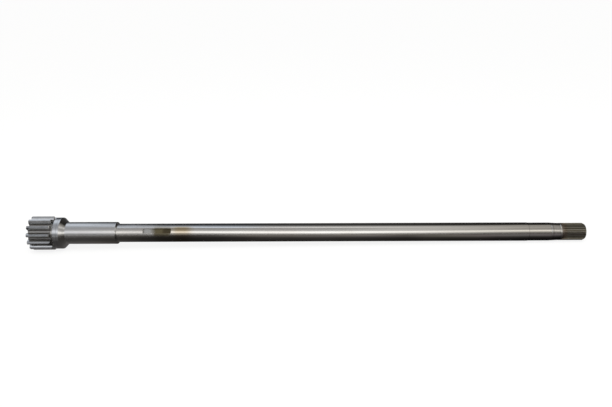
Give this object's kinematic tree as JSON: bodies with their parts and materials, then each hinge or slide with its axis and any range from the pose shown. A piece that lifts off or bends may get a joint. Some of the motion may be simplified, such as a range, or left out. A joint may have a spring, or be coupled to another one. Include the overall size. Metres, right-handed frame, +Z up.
{
  "type": "axle shaft",
  "caption": "Long turned axle shaft with an integral spur gear, a bearing seat and a keyway at one end and an involute spline at the other.",
  "frame": {"origin": "on the shaft's axis, at the gear's end face", "axes": "+X along the shaft from the gear to the spline; +Z up as the shaft lies at rest on two gear teeth; -Y faces the viewer of the picture"},
  "size_m": [1.38, 0.082, 0.082],
  "materials": {
    "steel": "turned and ground steel, lightly oiled"
  },
  "bodies": {
    "root": {"axle_shaft": "steel"}
  },
  "joints": []
}
